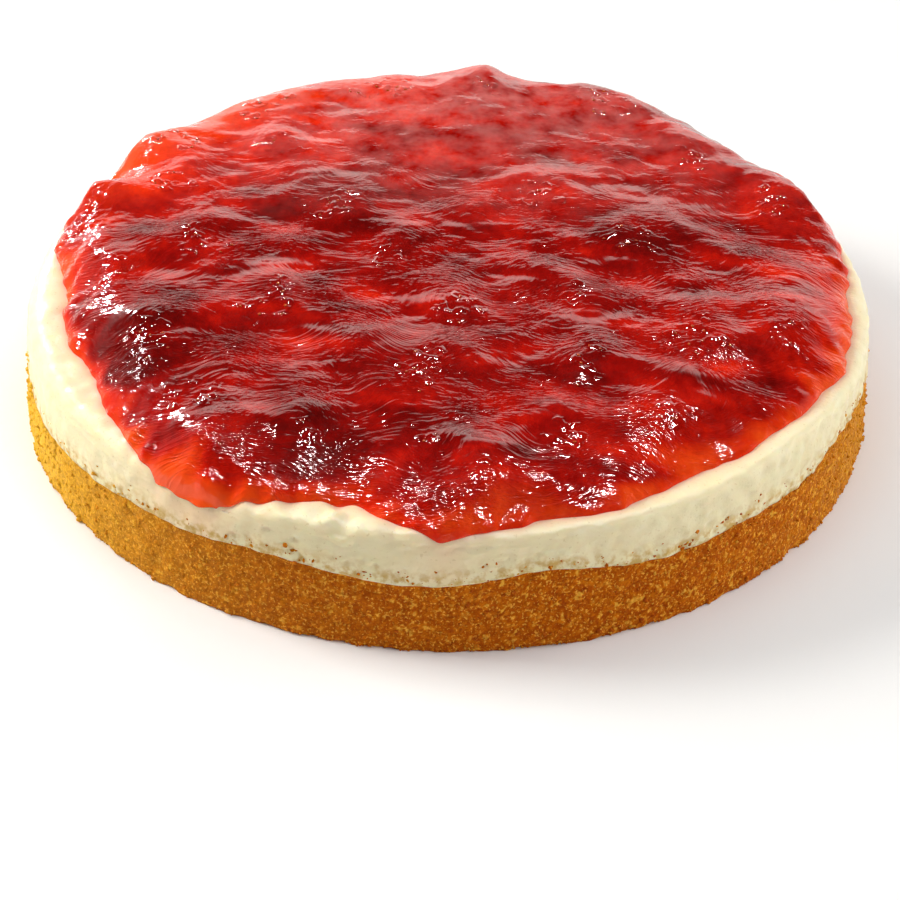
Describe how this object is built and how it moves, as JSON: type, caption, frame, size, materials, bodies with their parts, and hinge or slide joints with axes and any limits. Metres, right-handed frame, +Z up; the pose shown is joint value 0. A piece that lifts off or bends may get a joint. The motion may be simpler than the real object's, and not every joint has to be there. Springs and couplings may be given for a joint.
{
  "type": "strawberry mousse cake",
  "caption": "Round uncut cake with a golden crumb crust, an ivory cream layer and a lumpy glossy strawberry compote with halved berries",
  "frame": {"origin": "the middle of the flat underside of the crust", "axes": "+Z is up, -Y is the front as shown, +X is to the right seen from the front"},
  "size_m": [0.2392, 0.2386, 0.0502],
  "materials": {
    "crumb": "golden baked crumbs, dry and granular",
    "cream": "ivory set cream, smooth with a soft sheen",
    "compote": "thick wet translucent red jam, very glossy",
    "strawberry": "glazed red berry flesh with seed pits"
  },
  "bodies": {
    "root": {"crumb_crust": "crumb", "mousse_cream": "cream", "strawberry_compote": "compote", "strawberry_01": "strawberry", "strawberry_02": "strawberry", "strawberry_03": "strawberry", "strawberry_04": "strawberry", "strawberry_05": "strawberry", "strawberry_06": "strawberry", "strawberry_07": "strawberry", "strawberry_08": "strawberry", "strawberry_09": "strawberry", "strawberry_10": "strawberry", "strawberry_11": "strawberry", "strawberry_12": "strawberry", "strawberry_13": "strawberry", "strawberry_14": "strawberry", "strawberry_15": "strawberry", "strawberry_16": "strawberry", "strawberry_17": "strawberry", "strawberry_18": "strawberry", "strawberry_19": "strawberry", "strawberry_20": "strawberry", "strawberry_21": "strawberry", "strawberry_22": "strawberry", "strawberry_23": "strawberry", "strawberry_24": "strawberry", "strawberry_25": "strawberry", "strawberry_26": "strawberry", "strawberry_27": "strawberry", "strawberry_28": "strawberry", "strawberry_29": "strawberry", "strawberry_30": "strawberry"}
  },
  "joints": []
}
